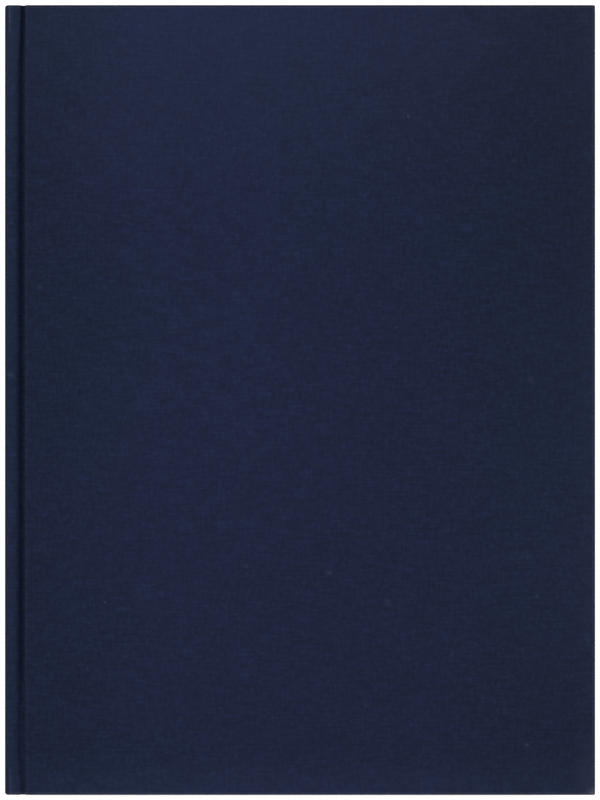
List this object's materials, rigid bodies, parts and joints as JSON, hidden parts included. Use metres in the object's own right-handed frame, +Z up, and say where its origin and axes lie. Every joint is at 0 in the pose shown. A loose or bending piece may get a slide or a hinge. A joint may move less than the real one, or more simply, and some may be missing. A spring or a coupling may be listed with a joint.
{
  "type": "pilot logbook",
  "caption": "Flat portrait hardback logbook in plain navy book cloth, with sewn leaves, a French groove beside the spine and two hinged covers.",
  "frame": {"origin": "middle of the closed book's footprint, on the surface it lies on", "axes": "+X from spine to fore edge, +Y from tail to head, +Z up through the front cover"},
  "size_m": [0.2092, 0.28, 0.0188],
  "materials": {
    "navy_book_cloth": "matt, fine plain-weave book cloth",
    "binders_board": "matt grey-brown binder's board",
    "page_paper": "matt uncoated paper",
    "ruled_paper": "matt uncoated paper with ruled lines",
    "endpaper": "matt cream endpaper",
    "mull_cloth": "open-weave stiffened mull",
    "liner_paper": "brown kraft paper",
    "band_thread": "worked thread in dark blue and cream stripes",
    "sewing_thread": "waxed linen thread"
  },
  "bodies": {
    "text_block": {"section_01": "page_paper", "section_02": "page_paper", "section_03": "page_paper", "section_04": "page_paper", "section_05": "page_paper", "section_06": "page_paper", "section_07": "page_paper", "section_08": "page_paper", "section_09": "page_paper", "section_10": "page_paper", "section_11": "page_paper", "section_12": "page_paper", "mull": "mull_cloth", "spine_liner": "liner_paper", "head_band": "band_thread", "tail_band": "band_thread", "head_kettle_stitch": "sewing_thread", "tail_kettle_stitch": "sewing_thread", "spine_board": "binders_board", "spine_cloth": "navy_book_cloth", "front_joint_cloth": "navy_book_cloth", "back_joint_cloth": "navy_book_cloth"},
    "front_cover": {"front_board": "binders_board", "front_mull_flange": "mull_cloth", "front_pastedown": "endpaper", "front_cover_cloth": "navy_book_cloth"},
    "back_cover": {"back_board": "binders_board", "back_mull_flange": "mull_cloth", "back_pastedown": "endpaper", "back_cover_cloth": "navy_book_cloth"},
    "front_flyleaf": {"front_flyleaf": "endpaper"},
    "leaf_1": {"leaf_1": "ruled_paper"},
    "leaf_2": {"leaf_2": "ruled_paper"},
    "leaf_3": {"leaf_3": "ruled_paper"},
    "leaf_4": {"leaf_4": "ruled_paper"},
    "rear_flyleaf": {"rear_flyleaf": "endpaper"}
  },
  "joints": [
    {"name": "front_cover_hinge", "type": "hinge", "parent": "text_block", "child": "front_cover", "pos_m": [-0.1021, 0, 0.01578], "axis": [0, -1, 0], "range_deg": [0, 180]},
    {"name": "back_cover_hinge", "type": "hinge", "parent": "text_block", "child": "back_cover", "pos_m": [-0.1021, 0, 0.003], "axis": [0, 1, 0], "range_deg": [0, 180]},
    {"name": "front_flyleaf_turn", "type": "hinge", "parent": "text_block", "child": "front_flyleaf", "pos_m": [-0.1021, 0, 0.01578], "axis": [0, -1, 0], "range_deg": [0, 178.6]},
    {"name": "leaf_1_turn", "type": "hinge", "parent": "text_block", "child": "leaf_1", "pos_m": [-0.1021, 0, 0.01578], "axis": [0, -1, 0], "range_deg": [0, 177.16]},
    {"name": "leaf_2_turn", "type": "hinge", "parent": "text_block", "child": "leaf_2", "pos_m": [-0.1021, 0, 0.01578], "axis": [0, -1, 0], "range_deg": [0, 175.36]},
    {"name": "leaf_3_turn", "type": "hinge", "parent": "text_block", "child": "leaf_3", "pos_m": [-0.1021, 0, 0.01578], "axis": [0, -1, 0], "range_deg": [0, 4.36]},
    {"name": "leaf_4_turn", "type": "hinge", "parent": "text_block", "child": "leaf_4", "pos_m": [-0.1021, 0, 0.01578], "axis": [0, -1, 0], "range_deg": [0, 2.38]},
    {"name": "rear_flyleaf_turn", "type": "hinge", "parent": "text_block", "child": "rear_flyleaf", "pos_m": [-0.1021, 0, 0.003], "axis": [0, 1, 0], "range_deg": [0, 177.7]}
  ],
  "couplings": [
    {"joint": "front_flyleaf_turn", "follows": "front_cover_hinge", "ratio": 0.99},
    {"joint": "leaf_1_turn", "follows": "front_cover_hinge", "ratio": 0.982},
    {"joint": "leaf_2_turn", "follows": "front_cover_hinge", "ratio": 0.972},
    {"joint": "leaf_3_turn", "follows": "front_cover_hinge", "ratio": 0.022},
    {"joint": "leaf_4_turn", "follows": "front_cover_hinge", "ratio": 0.011},
    {"joint": "rear_flyleaf_turn", "follows": "back_cover_hinge", "ratio": 0.985}
  ]
}
